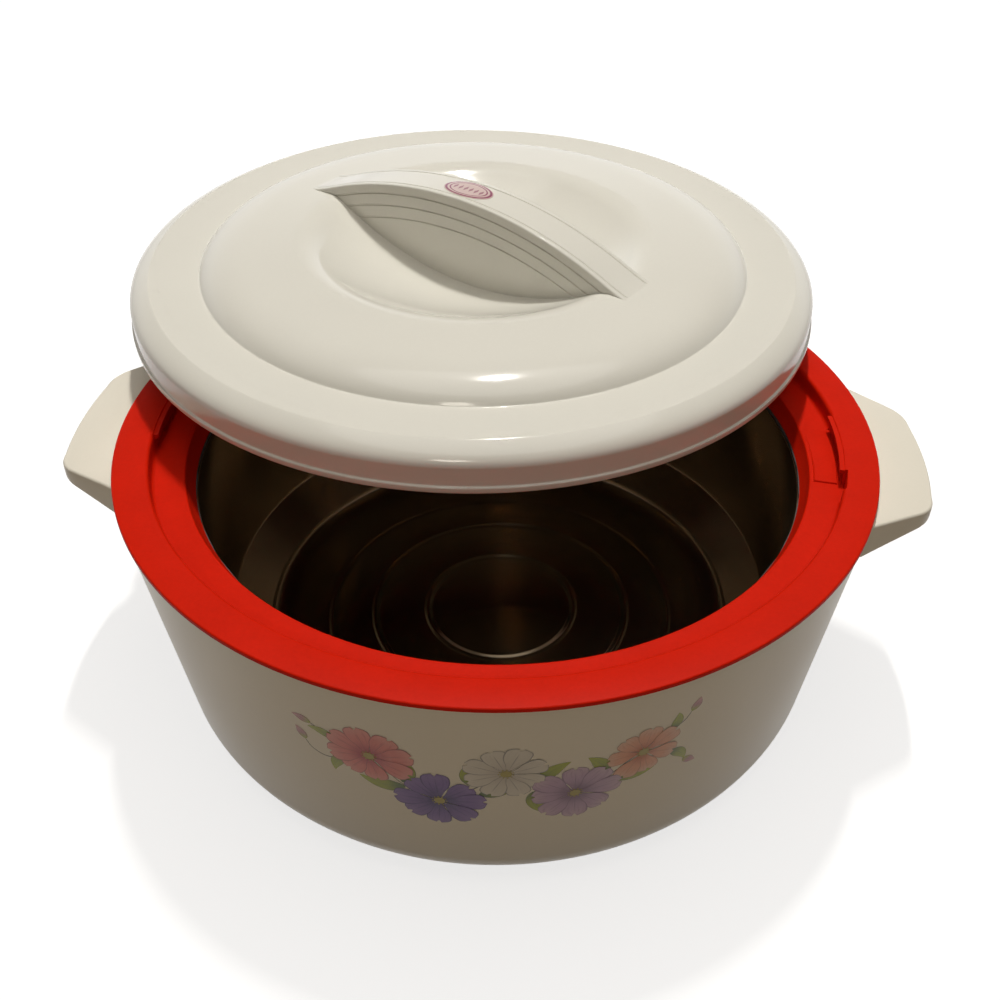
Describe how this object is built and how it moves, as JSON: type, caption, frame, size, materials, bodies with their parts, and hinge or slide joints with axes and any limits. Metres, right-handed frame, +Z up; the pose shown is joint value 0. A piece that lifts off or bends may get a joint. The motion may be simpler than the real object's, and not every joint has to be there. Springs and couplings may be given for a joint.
{
  "type": "insulated serving casserole",
  "caption": "Round insulated casserole: white plastic body with wing handles, red ring, steel bowl and a loose white lid with an arched grip bar lying slid back on the ring.",
  "frame": {"origin": "centre of the base's underside, on the table", "axes": "+Z up, +X towards the right handle, +Y away from the front, the way the lid is slid"},
  "size_m": [0.293, 0.321, 0.1504],
  "materials": {
    "white_plastic": "glossy warm white",
    "lid_plastic": "glossy warm white",
    "red_plastic": "satin red",
    "bowl_steel": "polished stainless steel",
    "screw_steel": "bright steel",
    "foam": "cut rigid foam",
    "seal": "soft dark rubber",
    "badge": "glossy film, plain"
  },
  "bodies": {
    "casserole": {"outer_body": "white_plastic", "foam_plug": "white_plastic", "body_foam": "foam", "steel_bowl": "bowl_steel", "bowl_seal": "seal", "top_ring": "red_plastic", "handle_right": "white_plastic", "handle_left": "white_plastic", "handle_screw_1": "screw_steel", "handle_screw_2": "screw_steel", "handle_screw_3": "screw_steel", "handle_screw_4": "screw_steel"},
    "lid": {"lid_cover": "lid_plastic", "lid_badge": "badge", "lid_liner": "lid_plastic", "lid_plate": "bowl_steel", "lid_foam": "foam"}
  },
  "joints": [
    {"name": "lid_lift", "type": "slide", "parent": "casserole", "child": "lid", "axis": [0, 0, 1], "range_m": [0, 0.12]}
  ]
}
